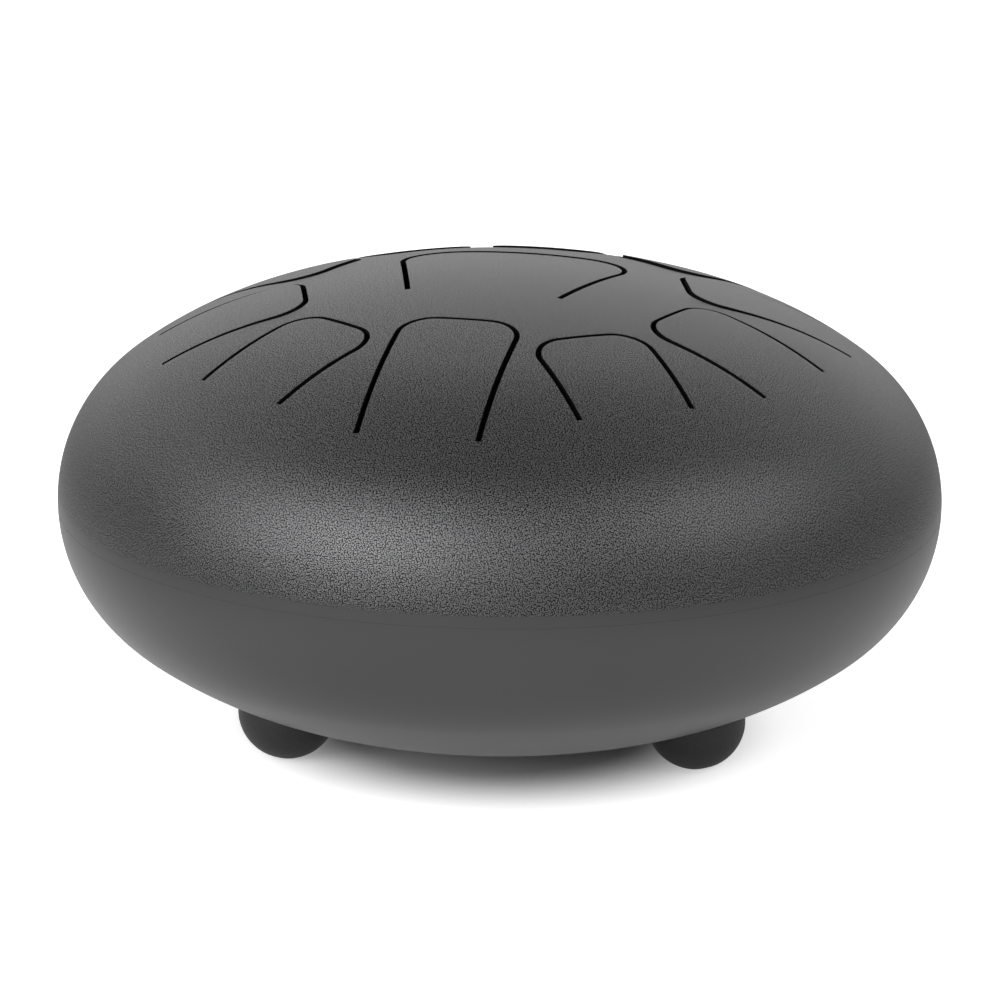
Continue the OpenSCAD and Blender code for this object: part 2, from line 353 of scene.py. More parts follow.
    def gather(self, made, key, pieces):
        for piece in pieces:
            self.tree.links.new(piece, made.inputs[key])
        return made.outputs[0]

    # Materials

    def on_object(self):
        return self.made("ShaderNodeTexCoord", output="Object")

    def noise(self, at, per_metre, detail):
        return self.value("ShaderNodeTexNoise", {"Vector": at, "Scale": per_metre, "Detail": detail})

    def blend(self, share, start, end):
        """Colour between two colours."""
        sockets = {0: share, 6: (*start, 1), 7: (*end, 1)}
        return self.made("ShaderNodeMix", sockets, 2, data_type="RGBA")

    def bump(self, height, depth, strength):
        return self.made("ShaderNodeBump", {"Strength": strength, "Distance": depth, "Height": height})


class Sizes(dict):
    """The sizes that a geometry tree is given. Each becomes a named input when it is first asked for."""

    def __init__(self, nodes):
        self.nodes = nodes
        self.given = nodes.node("NodeGroupInput")

    def __missing__(self, name):
        self.nodes.tree.interface.new_socket(name, in_out="INPUT", socket_type="NodeSocketFloat")
        self[name] = Value(self.nodes, self.given.outputs[name])
        return self[name]


def geometry_tree(name):
    tree = bpy.data.node_groups.new(name, "GeometryNodeTree")
    tree.interface.new_socket("Geometry", in_out="OUTPUT", socket_type="NodeSocketGeometry")
    nodes = Nodes(tree)
    return nodes, Sizes(nodes)


def close_tree(nodes, geometry, material=None):
    """Ends a tree: instances made real, then the material."""
    geometry = nodes.made("GeometryNodeRealizeInstances", {0: geometry})
    if material:
        geometry = nodes.coat(geometry, material)
    output = nodes.node("NodeGroupOutput")
    nodes.tree.links.new(geometry, output.inputs[0])
    return nodes.tree


def new_object(name, data):
    made = bpy.data.objects.new(name, data)
    bpy.context.scene.collection.objects.link(made)
    return made


def run_tree(name, tree, values, slot, *stands_for):
    """Runs a tree on a new object, keeps the result as a plain mesh and hides the nodes that it stands for."""
    piece = new_object(name, bpy.data.meshes.new(name))
    modifier = piece.modifiers.new("Build", "NODES")
    modifier.node_group = tree
    for item in tree.interface.items_tree:
        if item.in_out == "INPUT":
            modifier[item.identifier] = values[item.name]
    graph = bpy.context.evaluated_depsgraph_get()
    mesh = bpy.data.meshes.new_from_object(
        piece.evaluated_get(graph), preserve_all_data_layers=True, depsgraph=graph
    )
    piece.modifiers.clear()
    piece.data = mesh
    for i in reversed(range(len(mesh.materials))):
        if mesh.materials[i] is None:
            mesh.materials.pop(index=i)
    if not mesh.polygons:
        raise RuntimeError(f"{name} came out empty")
    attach(piece, "root")
    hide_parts(*stands_for)
    return piece


class Pressing:
    """The three arcs of a pressing as expressions: crown, shoulder and rim meet without a corner."""

    def __init__(self, nodes, size):
        self.nodes = nodes
        self.crown_r = size["Crown radius"]
        self.rim_r = size["Rim radius"]
        self.rim = size["Rim diameter"] / 2
        self.rim_x = self.rim - self.rim_r
        self.rim_edge = self.rim - size["Rim band width"]
        self.crown_edge = self.rim_edge - size["Shoulder width"]
        crown_sine = self.crown_edge / self.crown_r
        rim_sine = 1 - size["Rim band width"] / self.rim_r
        self.crown_slope = nodes.math("ARCSINE", crown_sine)
        self.rim_slope = nodes.math("ARCSINE", rim_sine)
        self.shoulder_r = size["Shoulder width"] / (rim_sine - crown_sine)
        self.shoulder_x = self.crown_edge - self.shoulder_r * crown_sine
        self.shoulder_z = self.rim_r * nodes.cos(self.rim_slope) - self.shoulder_r * nodes.cos(self.rim_slope)
        self.crown_z = self.shoulder_z + (self.shoulder_r - self.crown_r) * nodes.cos(self.crown_slope)

    def point(self, slope, inset=0):
        """Distance from the axis and height at a slope, on the skin or inside it."""
        nodes = self.nodes
        low = slope > self.rim_slope
        mid = slope > self.crown_slope
        radius = nodes.pick(low, self.rim_r, nodes.pick(mid, self.shoulder_r, self.crown_r)) - inset
        x = nodes.pick(low, self.rim_x, mid * self.shoulder_x)
        z = (1 - low) * nodes.pick(mid, self.shoulder_z, self.crown_z)
        return x + radius * nodes.sin(slope), z + radius * nodes.cos(slope)

    def slope_along(self, share, end_slope):
        """Slope after a share of the way from the crown's middle to the slope at the end."""
        crown = self.crown_r * self.crown_slope
        shoulder = self.shoulder_r * (self.rim_slope - self.crown_slope)
        rim = self.rim_r * (end_slope - self.rim_slope)
        way = share * (crown + shoulder + rim)
        on_crown = self.nodes.math("MINIMUM", way, crown)
        on_shoulder = self.nodes.clamp(way - crown, 0, shoulder)
        on_rim = self.nodes.math("MAXIMUM", way - crown - shoulder, 0)
        return on_crown / self.crown_r + on_shoulder / self.shoulder_r + on_rim / self.rim_r

    def way_to(self, slope):
        """Distance along the skin from the crown's middle to a slope."""
        on_crown = self.crown_r * self.nodes.math("MINIMUM", slope, self.crown_slope)
        past = self.nodes.clamp(slope - self.crown_slope, 0, self.rim_slope - self.crown_slope)
        on_rim = self.rim_r * self.nodes.math("MAXIMUM", slope - self.rim_slope, 0)
        return on_crown + self.shoulder_r * past + on_rim

    def slope_at(self, r):
        """Slope of the skin at a distance from the axis."""

        def on_arc(across, radius):
            return self.nodes.math("ARCSINE", self.nodes.clamp(across / radius, 0, 1))

        on_crown = on_arc(r, self.crown_r)
        on_shoulder = on_arc(r - self.shoulder_x, self.shoulder_r)
        on_rim = on_arc(r - self.rim_x, self.rim_r)
        inner = self.nodes.pick(r > self.crown_edge, on_shoulder, on_crown)
        return self.nodes.pick(r > self.rim_edge, on_rim, inner)

    def over(self, position):
        """Height of the skin over a place, and the direction square to it there."""
        nodes = self.nodes
        x, y, _ = nodes.split(position)
        r = nodes.root(x * x + y * y)
        slope = self.slope_at(r)
        flat = nodes.sin(slope) / nodes.math("MAXIMUM", r, 1e-6)
        return self.point(slope)[1], nodes.vector(x * flat, y * flat, nodes.cos(slope))


def outline(nodes, corners, closed=True):
    """Outline through corners, counter-clockwise: distance from the axis, height and rounding of each."""
    corners = corners[::-1]
    index = nodes.index()
    place = nodes.choose("VECTOR", index, [nodes.vector(r, 0.0 - z, 0.0) for r, z, _ in corners])
    ring = nodes.curve_through(len(corners), place, closed)
    radius = nodes.choose("FLOAT", index, [rounding for _, _, rounding in corners])
    return nodes.round_off(ring, radius, steps=4)


def turned(nodes, section, around):
    """Turns a section of distances and heights round the axis."""
    core = 0.001
    shifted = nodes.carry(section, (-core, 0.0, 0.0))
    return nodes.merge(nodes.sweep(nodes.ring(around, core), nodes.position(), shifted))


def soften(nodes, mesh, sharp=38):
    """Smooth shading, with edges sharper than some degrees kept crisp."""
    bend = nodes.value("GeometryNodeInputMeshEdgeAngle")
    smooth = nodes.made("GeometryNodeSetShadeSmooth", {"Geometry": mesh}, domain="FACE")
    crisp = {"Geometry": smooth, "Shade Smooth": bend < math.radians(sharp)}
    return nodes.made("GeometryNodeSetShadeSmooth", crisp, domain="EDGE")


def at_foot(nodes, size, geometry):
    """Moves a piece from a foot's own frame, whose height is square to the shell, to its place on the drum."""
    skin = Pressing(nodes, size)
    reach, turn = size["Foot circle"] / 2, size["Foot turn"]
    height = size["Weld height"] - skin.point(skin.slope_at(reach))[1]
    return nodes.carry(geometry, nodes.round_axis(reach, turn, height), (0.0, -size["Foot lean"], turn))


def shell_mesh(nodes, size, skin, settings):
    """Closed wall of one pressing, standing on the weld's middle plane."""
    rows = settings.rows
    last = 2 * rows + 1
    across, along, _ = nodes.here()
    turn = (across + 0.5) * math.tau
    row = nodes.math("ROUND", (along + 0.5) * last)
    inner = row > rows + 0.5
    inset = inner * size["Sheet thickness"]
    edge = nodes.pick(inner, size["Weld root gap"], size["Weld width"]) / 2
    end_slope = nodes.math("ARCCOSINE", edge / (skin.rim_r - inset))
    r, z = skin.point(skin.slope_along(nodes.math("MINIMUM", row, last - row) / rows, end_slope), inset)
    bent = nodes.put(nodes.grid(settings.around, last), nodes.round_axis(r, turn, z))
    return nodes.made("GeometryNodeFlipFaces", {"Mesh": nodes.merge(bent)})


def edge_profile(nodes, size, steps=4):
    """Section of a cutter: the slot's width below the skin, flaring into a quarter round at it."""
    edge = size["Cut edge radius"]
    count = 2 * (steps + 3)
    index = nodes.index()
    side = index > steps + 2.5
    step = nodes.pick(side, count - 1 - index, index)
    bend = nodes.clamp((step - 1) / steps, 0, 1) * (math.pi / 2)
    below = step < 0.5
    above = step > steps + 1.5
    x = size["Slot width"] / 2 + edge * (1 - nodes.cos(bend)) + above * edge
    z = nodes.pick(below, -3 * size["Sheet thickness"], edge * (nodes.sin(bend) - 1) + above * edge * 2)
    return nodes.curve_through(count, nodes.vector(z, x * (2 * side - 1), 0.0))


def tongue_line_tree():
    """Middle line of the slot round one tongue, flat in plan, turned to its place."""
    nodes, size = geometry_tree("Tongue line")
    index = nodes.index()
    at_tip = (index > 0.5) * (index < 2.5)
    side = 1 - 2 * (index > 1.5)
    x = nodes.pick(at_tip, size["Tip"], size["Root"])
    y = side * nodes.pick(at_tip, size["Tip width"], size["Root width"]) / 2
    sine, cosine = nodes.sin(size["Turn"]), nodes.cos(size["Turn"])
    place = nodes.vector(x * cosine - y * sine, x * sine + y * cosine, 0.0)
    line = nodes.curve_through(4, place, False)
    return close_tree(nodes, nodes.round_off(line, size["Corner radius"], steps=20))


def skin_cutter(nodes, size, skin, curve, points, caps=True):
    """Lays a flat curve on the skin and sweeps the cutter's section along it."""
    spaced = nodes.made("GeometryNodeResampleCurve", {"Curve": curve, "Count": points}, mode="COUNT")
    position = nodes.position()
    height, square = skin.over(position)
    x, y, _ = nodes.split(position)
    laid = nodes.put(spaced, nodes.vector(x, y, height))
    return nodes.sweep(laid, square, edge_profile(nodes, size), caps)


def smooth_skin(nodes, skin, mesh, shaded_cut_face):
    """Shading normals from the skin's own arcs, and the cut faces' material, its near-black partly painted
    shade inside the cuts, on faces that turn away from it.
    """
    on_skin, turned_away = 0.996, 0.9
    own = nodes.node("GeometryNodeInputNormal")
    square = skin.over(nodes.position())[1]
    both = {0: own.outputs["True Normal"], 1: square}
    along = nodes.value("ShaderNodeVectorMath", both, "Value", operation="DOT_PRODUCT")
    facing = nodes.value("GeometryNodeFieldOnDomain", {0: along}, domain="FACE", data_type="FLOAT")

    def scaled(vector, share):
        return nodes.value("ShaderNodeVectorMath", {0: vector, "Scale": share}, "Vector", operation="SCALE")

    outside, inside = facing > on_skin, facing < -on_skin
    parts = {0: scaled(square, outside - inside), 1: scaled(own.outputs["Normal"], 1 - outside - inside)}
    normal = nodes.value("ShaderNodeVectorMath", parts, "Vector", operation="ADD")
    kept = {"Mesh": soften(nodes, mesh), 1: normal}
    shaded = nodes.made("GeometryNodeSetMeshNormal", kept, mode="FREE", domain="CORNER")
    # Faces that turn away from the skin take the cut material, darkened as painted shade inside the cuts
    return nodes.coat(shaded, shaded_cut_face, (facing < turned_away) * (facing > -turned_away))


def sprung(nodes, mesh, tongues):
    """Bends each tongue from its root, so that its tip stands a little proud of the crown, or under it."""
    x, y, _ = nodes.here()
    rise = 0.0
    for (tip, root, tip_width, root_width, corner, turn), spring in tongues:
        along = x * math.cos(turn) + y * math.sin(turn)
        across = nodes.math("ABSOLUTE", y * math.cos(turn) - x * math.sin(turn))
        taper = (tip_width - root_width) / ((root - tip) * 2)
        slant = nodes.math("ARCTANGENT", taper)
        beside = tip_width / 2 - (along - tip) * taper - across
        # Outside the arc of a rounded corner lies the crown
        past = along - tip - corner
        out = across - (tip_width / 2 - corner * taper - corner / nodes.cos(slant))
        at_corner = (out > 0) * (out * nodes.sin(slant) > past * nodes.cos(slant))
        outside = at_corner * (past * past + out * out > corner * corner)
        inside = (beside > 0) * (along > tip) * (1 - outside)
        bend = nodes.clamp((root - along) / (root - tip), 0, 1)
        rise = rise + inside * bend * bend * spring
    return nodes.made("GeometryNodeSetPosition", {"Geometry": mesh, "Offset": nodes.vector(0.0, 0.0, rise)})


def upper_shell_tree(settings, material, shaded_cut_face):
    """Pressing with its eleven tongues cut free and sprung."""
    nodes, size = geometry_tree("Upper shell")
    skin = Pressing(nodes, size)
    pitch = math.tau / len(TIP_SHARES)
    touch = size["Tongue width"] / (2 * math.sin(pitch / 2))
    slots = []
    for i, (tip, root, width) in enumerate(zip(TIP_SHARES, ROOT_SHARES, WIDTH_SHARES)):
        across = size["Tongue width"] * width
        turn = RING_START + i * pitch
        slots.append((touch * tip, skin.rim * root, across, across, size["Corner radius"], turn))
    slots.append((
        -size["Middle tip"], size["Middle root"], size["Middle tip width"], size["Middle root width"],
        size["Middle corner radius"], RING_START,
    ))
    line = tongue_line_tree()
    labels = ("Tip", "Root", "Tip width", "Root width", "Corner radius", "Turn")
    lines = [nodes.made("GeometryNodeGroup", dict(zip(labels, slot)), node_tree=line) for slot in slots]
    cutters = skin_cutter(nodes, size, skin, nodes.join(lines), points=150)
    coated = nodes.coat(nodes.cut(shell_mesh(nodes, size, skin, settings), [cutters]), material)
    springs = [share * size["Sheet thickness"] for share in (*SPRING_SHARES, MIDDLE_SPRING_SHARE)]
    bent = sprung(nodes, smooth_skin(nodes, skin, coated, shaded_cut_face), zip(slots, springs))
    return close_tree(nodes, nodes.carry(bent, nodes.vector(0.0, 0.0, size["Weld height"])))


def lower_shell_tree(settings, material, shaded_cut_face):
    """The same pressing turned over, with the sound port and the screws' holes."""
    nodes, size = geometry_tree("Lower shell")
    skin = Pressing(nodes, size)
    port_sides, hole_sides = 240, 32
    ring_r = size["Sound port"] / 2 - size["Slot width"] / 2
    plug = nodes.rod(port_sides, ring_r, size["Rim diameter"])
    lip = skin_cutter(nodes, size, skin, nodes.ring(port_sides, ring_r), port_sides, False)
    cutters = [plug, lip]
    drill = nodes.rod(hole_sides, size["Screw hole"] / 2, size["Foot circle"] / 8)
    reach = size["Foot circle"] / 2
    height = skin.point(skin.slope_at(reach))[1]
    for i in range(len(FEET)):
        turn = -(size["Foot turn"] + i * math.tau / len(FEET))
        place = nodes.round_axis(reach, turn, height)
        cutters.append(nodes.carry(drill, place, (0.0, size["Foot lean"], turn)))
    coated = nodes.coat(nodes.cut(shell_mesh(nodes, size, skin, settings), cutters), material)
    holed = smooth_skin(nodes, skin, coated, shaded_cut_face)
    lift = nodes.vector(0.0, 0.0, size["Weld height"])
    return close_tree(nodes, nodes.carry(holed, lift, (math.pi, 0.0, 0.0)))


def foot_tree(material, arc_steps=44, top_steps=12, edge_steps=5, around=120):
    """Moulded dome turned round the screw hole, its top pressed to the shell and its bottom to the floor."""
    nodes, size = geometry_tree("Rubber foot")
    dome_r = size["Foot diameter"] / 2
    middle = dome_r - size["Foot height"]
    recess_r, hole_r = size["Recess"] / 2, size["Screw hole"] / 2
    mouth = nodes.math("ARCSINE", recess_r / dome_r)
    rim = nodes.math("ARCCOSINE", middle / dome_r)
    count = 3 + arc_steps + top_steps
    step = count - 1 - nodes.index()
    in_recess = step < 1.5
    slope = mouth + nodes.clamp((step - 2) / arc_steps, 0, 1) * (rim - mouth)
    inward = nodes.clamp((step - 2 - arc_steps) / top_steps, 0, 1)
    on_dome = dome_r * nodes.sin(slope)
    r = nodes.pick(in_recess, nodes.pick(step < 0.5, hole_r, recess_r), on_dome + inward * (hole_r - on_dome))
    z = nodes.pick(in_recess, -size["Rubber floor"], middle - dome_r * nodes.cos(slope))
    ring = nodes.curve_through(count, nodes.vector(r, -z, 0.0))
    at_mouth = (step > 0.5) * (step < 2.5)
    at_rim = (step > 1.5 + arc_steps) * (step < 2.5 + arc_steps)
    section = nodes.round_off(ring, (at_mouth + at_rim) * size["Foot edge radius"], edge_steps)

    # Each point keeps its height in the foot's own frame, and the top is pressed against the shell
    own_height = {"Geometry": turned(nodes, section, around), "Name": "height", "Value": nodes.here()[2]}
    kept = nodes.made("GeometryNodeStoreNamedAttribute", own_height, data_type="FLOAT")
    placed = at_foot(nodes, size, kept)
    height = nodes.value("GeometryNodeInputNamedAttribute", {"Name": "height"}, data_type="FLOAT")
    still, pressed = -0.006, -0.001
    skin = Pressing(nodes, size)
    x, y, z = nodes.here()
    slope = skin.slope_at(nodes.root(x * x + y * y))
    gap = (size["Weld height"] - skin.point(slope)[1] - z) * nodes.cos(slope)
    lift = (height + gap - size["Settled gap"]) * nodes.ease(height, still, pressed, 0.0, 1.0)
    lean, turn = size["Foot lean"], size["Foot turn"]
    way = -nodes.sin(lean)
    over_floor = nodes.math("MAXIMUM", z + lift * nodes.cos(lean), 0.0)
    place = nodes.vector(x + lift * way * nodes.cos(turn), y + lift * way * nodes.sin(turn), over_floor)
    plain = nodes.made("GeometryNodeRemoveAttribute", {"Geometry": nodes.put(placed, place), "Name": "height"})
    return close_tree(nodes, soften(nodes, plain), material)


def washer_tree(material, around, edge_share=0.2):
    """Flat washer with the soft edges of a punched disc."""
    nodes, size = geometry_tree("Washer")
    low, high = size["Seat"], size["Seat"] + size["Thickness"]
    outer, bore, soft = size["Outside"] / 2, size["Bore"] / 2, size["Thickness"] * edge_share
    section = outline(nodes, [(bore, low, soft), (outer, low, soft), (outer, high, soft), (bore, high, soft)])
    placed = at_foot(nodes, size, turned(nodes, section, around))
    return close_tree(nodes, soften(nodes, placed), material)


def nut_tree(material, around, bevel_steps=5, bevel_share=0.75, bevel_start_share=0.96):
    """Lock nut: a round blank with bevelled ends and a collar, pressed to six flats."""
    nodes, size = geometry_tree("Lock nut")
    sixth = math.tau / 6
    flat = size["Nut across flats"] / 2
    point = flat / math.cos(sixth / 2)
    collar, bore, seat = flat - size["Collar step"], size["Bore"] / 2, size["Seat"]
    pocket = collar - size["Collar wall"]
    top = seat + size["Nut height"]
    rim = top + size["Collar height"]
    lip = rim - size["Collar lip"]
    opening = (bore + pocket) / 2
    start = flat * bevel_start_share
    bevel = []
    for i in range(bevel_steps + 1):
        share = i / bevel_steps
        bevel.append((start + share * (point - start), share * (point - flat) * bevel_share))
    corners = [(bore, seat, 0.0)]
    corners += [(r, seat + inset, 0.0) for r, inset in bevel]
    corners += [(r, top - inset, 0.0) for r, inset in reversed(bevel)]
    corners += [
        (collar, top, 0.0), (collar, rim, size["Collar edge radius"]), (opening, rim, size["Lip edge radius"]),
        (opening, lip, 0.0), (pocket, lip, 0.0), (pocket, top, 0.0), (bore, top, 0.0),
    ]
    blank = turned(nodes, outline(nodes, corners), around)
    x, y, z = nodes.here()
    across = nodes.math("FLOORED_MODULO", nodes.math("ARCTAN2", y, x), sixth) - sixth / 2
    share = nodes.math("MINIMUM", 1, flat / nodes.cos(across) / nodes.root(x * x + y * y))
    placed = at_foot(nodes, size, nodes.put(blank, nodes.vector(x * share, y * share, z)))
    return close_tree(nodes, soften(nodes, placed, 22), material)


def cross_recess(nodes, size, mouth, mouth_share=0.55, bottom_share=1.25):
    """Two crossed wings that narrow from the head's face inwards."""
    wings = []
    for turn in (0.0, math.pi / 2):
        block = nodes.vector(2 * size["Cross reach"], size["Cross width"], 2 * size["Cross depth"])
        x, y, z = nodes.here()
        narrow = nodes.pick(z > 0, mouth_share, bottom_share)
        plain = nodes.made("GeometryNodeMeshCube", {"Size": block})
        wing = nodes.put(plain, nodes.vector(x * narrow, y * narrow, z))
        wings.append(nodes.carry(wing, nodes.vector(0.0, 0.0, mouth), (0.0, 0.0, turn)))
    return wings


def thread(nodes, size, around, turns=30, rows_per_turn=8):
    """Shank whose rows of faces wind up as a thread. The first and last row close its ends."""
    head_h, tip, pitch = size["Head height"], size["Tip"], size["Thread pitch"]
    sunk_share, lead_turns, start_fade, crest_gain, crest_cut = 0.3, 2, 0.0003, 1.5, 0.2
    rows = turns * rows_per_turn
    bottom = size["Seat"] - head_h * sunk_share
    across, along, _ = nodes.here()
    winding = nodes.math("ROUND", (along + 0.5) * rows)
    level = winding / rows_per_turn + (across + 0.5) - lead_turns
    z = nodes.clamp(bottom + level * pitch, bottom, tip)
    phase = nodes.math("FLOORED_MODULO", winding / rows_per_turn, 1)
    crest = 1 - nodes.math("ABSOLUTE", phase * 2 - 1)
    crest = nodes.clamp(crest * crest_gain - crest_cut, 0, 1)
    fade = nodes.ease(tip - z, 0.0, pitch, 0.0, 1.0) * nodes.ease(z - bottom, 0.0, start_fade, 0.0, 1.0)
    ended = (winding < 0.5) + (winding > rows - 0.5)
    r = (size["Screw"] / 2 - size["Thread depth"] * (1 - crest * fade)) * (1 - ended)
    turn = across * math.tau
    return nodes.merge(nodes.put(nodes.grid(around // 2, rows), nodes.round_axis(r, turn, z)))


def screw_tree(material, around, dome_steps=14):
    """Pan head screw: a turned head with a cross recess, and a threaded shank."""
    nodes, size = geometry_tree("Screw")
    seat, head_r, head_h = size["Seat"], size["Head diameter"] / 2, size["Head height"]
    dome_r = (head_r * head_r + head_h * head_h) / (2 * head_h)
    corners = []
    for i in range(dome_steps + 1):
        slope = nodes.math("ARCSINE", head_r / dome_r) * (i / dome_steps)
        soft = size["Head edge radius"] if i == dome_steps else 0.0
        corners.append((dome_r * nodes.sin(slope), seat - head_h + dome_r * (1 - nodes.cos(slope)), soft))
    corners.append((0.0, seat, 0.0))
    head = turned(nodes, outline(nodes, corners, False), around)
    driven = nodes.cut(head, cross_recess(nodes, size, seat - head_h))
    placed = at_foot(nodes, size, nodes.join([driven, thread(nodes, size, around)]))
    return close_tree(nodes, soften(nodes, placed, 30), material)


def material(name):
    made = bpy.data.materials.new(name)
    made.use_nodes = True
    nodes = Nodes(made.node_tree)
    return made, nodes, nodes.own("BSDF_PRINCIPLED")


def lay(nodes, shader, base, roughness, bump):
    """Gives a shader what varies over the surface."""
    for name, value in (("Base Color", base), ("Roughness", roughness), ("Normal", bump)):
        nodes.feed(shader.inputs[name], value)


def rolled_out(nodes, at, sizes):
    """Where a point lies when its shell is rolled out flat, so that the grain follows the sheet."""
    skin = Pressing(nodes, sizes)
    x, y, z = nodes.split(at)
    r = nodes.root(x * x + y * y)
    below = nodes.math("ABSOLUTE", z - sizes["Weld height"])
    slope = nodes.pick(r > skin.rim_edge, nodes.math("ARCTAN2", r - skin.rim_x, below), skin.slope_at(r))
    share = skin.way_to(slope) / nodes.math("MAXIMUM", r, 1e-6)
    return nodes.vector(x * share, y * share, 0.0)


def coat_material(name, finish, sizes, grain):
    """Satin powder coat: metal flakes in a dark binder. grain is how strongly single flakes show."""
    made, nodes, shader = material(name)
    even, reach, contrast, spread = 0.45, 0.36, 2.4, 0.5
    # The grain starts at the weld: how calm it is there, over what height it grows, and how far that wanders
    calm_share, calm_rise, wander = 0.1, 0.005, 0.006
    at = nodes.on_object()
    sockets = {"Vector": rolled_out(nodes, at, sizes), "Scale": 1 / finish.grain, "Randomness": 0.7}
    flakes = nodes.node("ShaderNodeTexVoronoi", {"voronoi_dimensions": "2D"}, sockets)
    cells = Value(nodes, flakes.outputs["Distance"])
    sparkle = nodes.split(flakes.outputs["Color"])[0]
    flake = nodes.clamp((reach - cells) * contrast + 0.5, 0, 1) * (1 - spread / 2 + sparkle * spread)
    cloud = nodes.noise(at, 9.0, 2.0) - 0.5
    height = nodes.split(at)[2] - sizes["Weld height"]
    strength = nodes.ease(height + cloud * wander, 0.0, calm_rise, grain * calm_share, grain)
    shown = (flake - even) * strength
    shader.inputs["Metallic"].default_value = 0.7
    lay(
        nodes, shader,
        nodes.blend(even + shown + cloud * 0.08, finish.coat, finish.flake),
        0.37 - shown * 0.08,
        nodes.bump(flake, finish.grain / 16, strength),
    )
    return made


def shaded_cut_material(finish):
    """Cut faces of the sheet, where the coat is thin and dull; their near-black is partly that coat's own tone
    and partly painted shade inside the slots, port and holes. Both shells share it.
    """
    if "Shaded cut face" in bpy.data.materials:
        return bpy.data.materials["Shaded cut face"]
    made, nodes, shader = material("Shaded cut face")
    drag = nodes.noise(nodes.on_object(), 1500.0, 2.0)
    shader.inputs["Specular IOR Level"].default_value = 0.03
    base = nodes.blend(drag, finish.cut, finish.coat)
    lay(nodes, shader, base, 0.6 + drag * 0.2, nodes.bump(drag, 0.00004, 0.3))
    return made


def rubber_material(finish):
    """Matt moulded rubber with a little dust."""
    made, nodes, shader = material("Moulded rubber")
    at = nodes.on_object()
    dust, rough = nodes.noise(at, 900.0, 3.0), nodes.noise(at, 60.0, 2.0)
    dusty = nodes.clamp((dust - 0.45) * 0.5, 0, 1)
    base = nodes.blend(dusty, finish.rubber, finish.dust)
    lay(nodes, shader, base, 0.55 + (rough - 0.5) * 0.15, nodes.bump(dust, 0.0001, 0.2))
    return made


def zinc_material(finish):
    """Bright zinc plate, duller in its fine spangle."""
    made, nodes, shader = material("Zinc plate")
    spangle = nodes.noise(nodes.on_object(), 700.0, 3.0)
    dull = [0.7 * channel for channel in finish.zinc]
    shader.inputs["Metallic"].default_value = 1.0
    base = nodes.blend(spangle, finish.zinc, dull)
    lay(nodes, shader, base, 0.25 + spangle * 0.2, nodes.bump(spangle, 0.00002, 0.3))
    return made


def nylon_material(finish):
    """Natural nylon, slightly yellowed in places."""
    made, nodes, shader = material("Nylon")
    cloud = nodes.noise(nodes.on_object(), 1200.0, 3.0)
    yellowed = [share * channel for share, channel in zip((0.92, 0.9, 0.82), finish.nylon)]
    base = nodes.blend(cloud, finish.nylon, yellowed)
    lay(nodes, shader, base, 0.35 + cloud * 0.15, nodes.bump(cloud, 0.00003, 0.3))
    return made


def drum_sizes(scene):
    """Every size of the drum by its label, which is also the name of the trees' inputs."""
    found = {}
    for place in ("drum_shell", "drum_tongues", "drum_feet", "drum_fasteners"):
        for key in SETTINGS[place].__annotations__:
            found[SETTINGS[place].bl_rna.properties[key].name] = getattr(getattr(scene, place), key)
    found["Slot width"] -= 2 * found["Coat thickness"]
    return found


def each_foot(scene):
    """Name of each foot and the sizes there, counter-clockwise from the front left."""
    sizes = drum_sizes(scene)
    turns = [sizes["Foot turn"] + i * math.tau / len(FEET) for i in range(len(FEET))]
    return [(foot, sizes | {"Foot turn": turn}) for foot, turn in zip(FEET, turns)]


class DRUM_OT_upper_shell(Operator):
    """Build the upper shell with its eleven tongues"""

    bl_idname = "drum.upper_shell"
    bl_label = "Upper shell"

    def execute(self, context):
        scene, sizes = context.scene, drum_sizes(context.scene)
        coat = coat_material("Grained coat", scene.drum_finish, sizes, 1.25)
        tree = upper_shell_tree(scene.drum_shell, coat, shaded_cut_material(scene.drum_finish))
        run_tree("upper_shell_coated", tree, sizes, "upper_coat", "upper_shell")
        return {"FINISHED"}


class DRUM_OT_lower_shell(Operator):
    """Build the lower shell with its sound port and screw holes, and coat the weld"""

    bl_idname = "drum.lower_shell"
    bl_label = "Lower shell and weld"

    def execute(self, context):
        scene, sizes = context.scene, drum_sizes(context.scene)
        coat = coat_material("Smooth coat", scene.drum_finish, sizes, 0.06)
        tree = lower_shell_tree(scene.drum_shell, coat, shaded_cut_material(scene.drum_finish))
        run_tree("lower_shell_coated", tree, sizes, "lower_coat", "lower_shell")
        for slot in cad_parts["seam_weld"].material_slots:
            slot.material = coat
        return {"FINISHED"}


class DRUM_OT_feet(Operator):
    """Build the three moulded rubber feet"""

    bl_idname = "drum.feet"
    bl_label = "Feet"

    def execute(self, context):
        tree = foot_tree(rubber_material(context.scene.drum_finish))
        for foot, sizes in each_foot(context.scene):
            run_tree(f"foot_{foot}_moulded", tree, sizes, "foot_rubber", f"foot_{foot}")
        return {"FINISHED"}


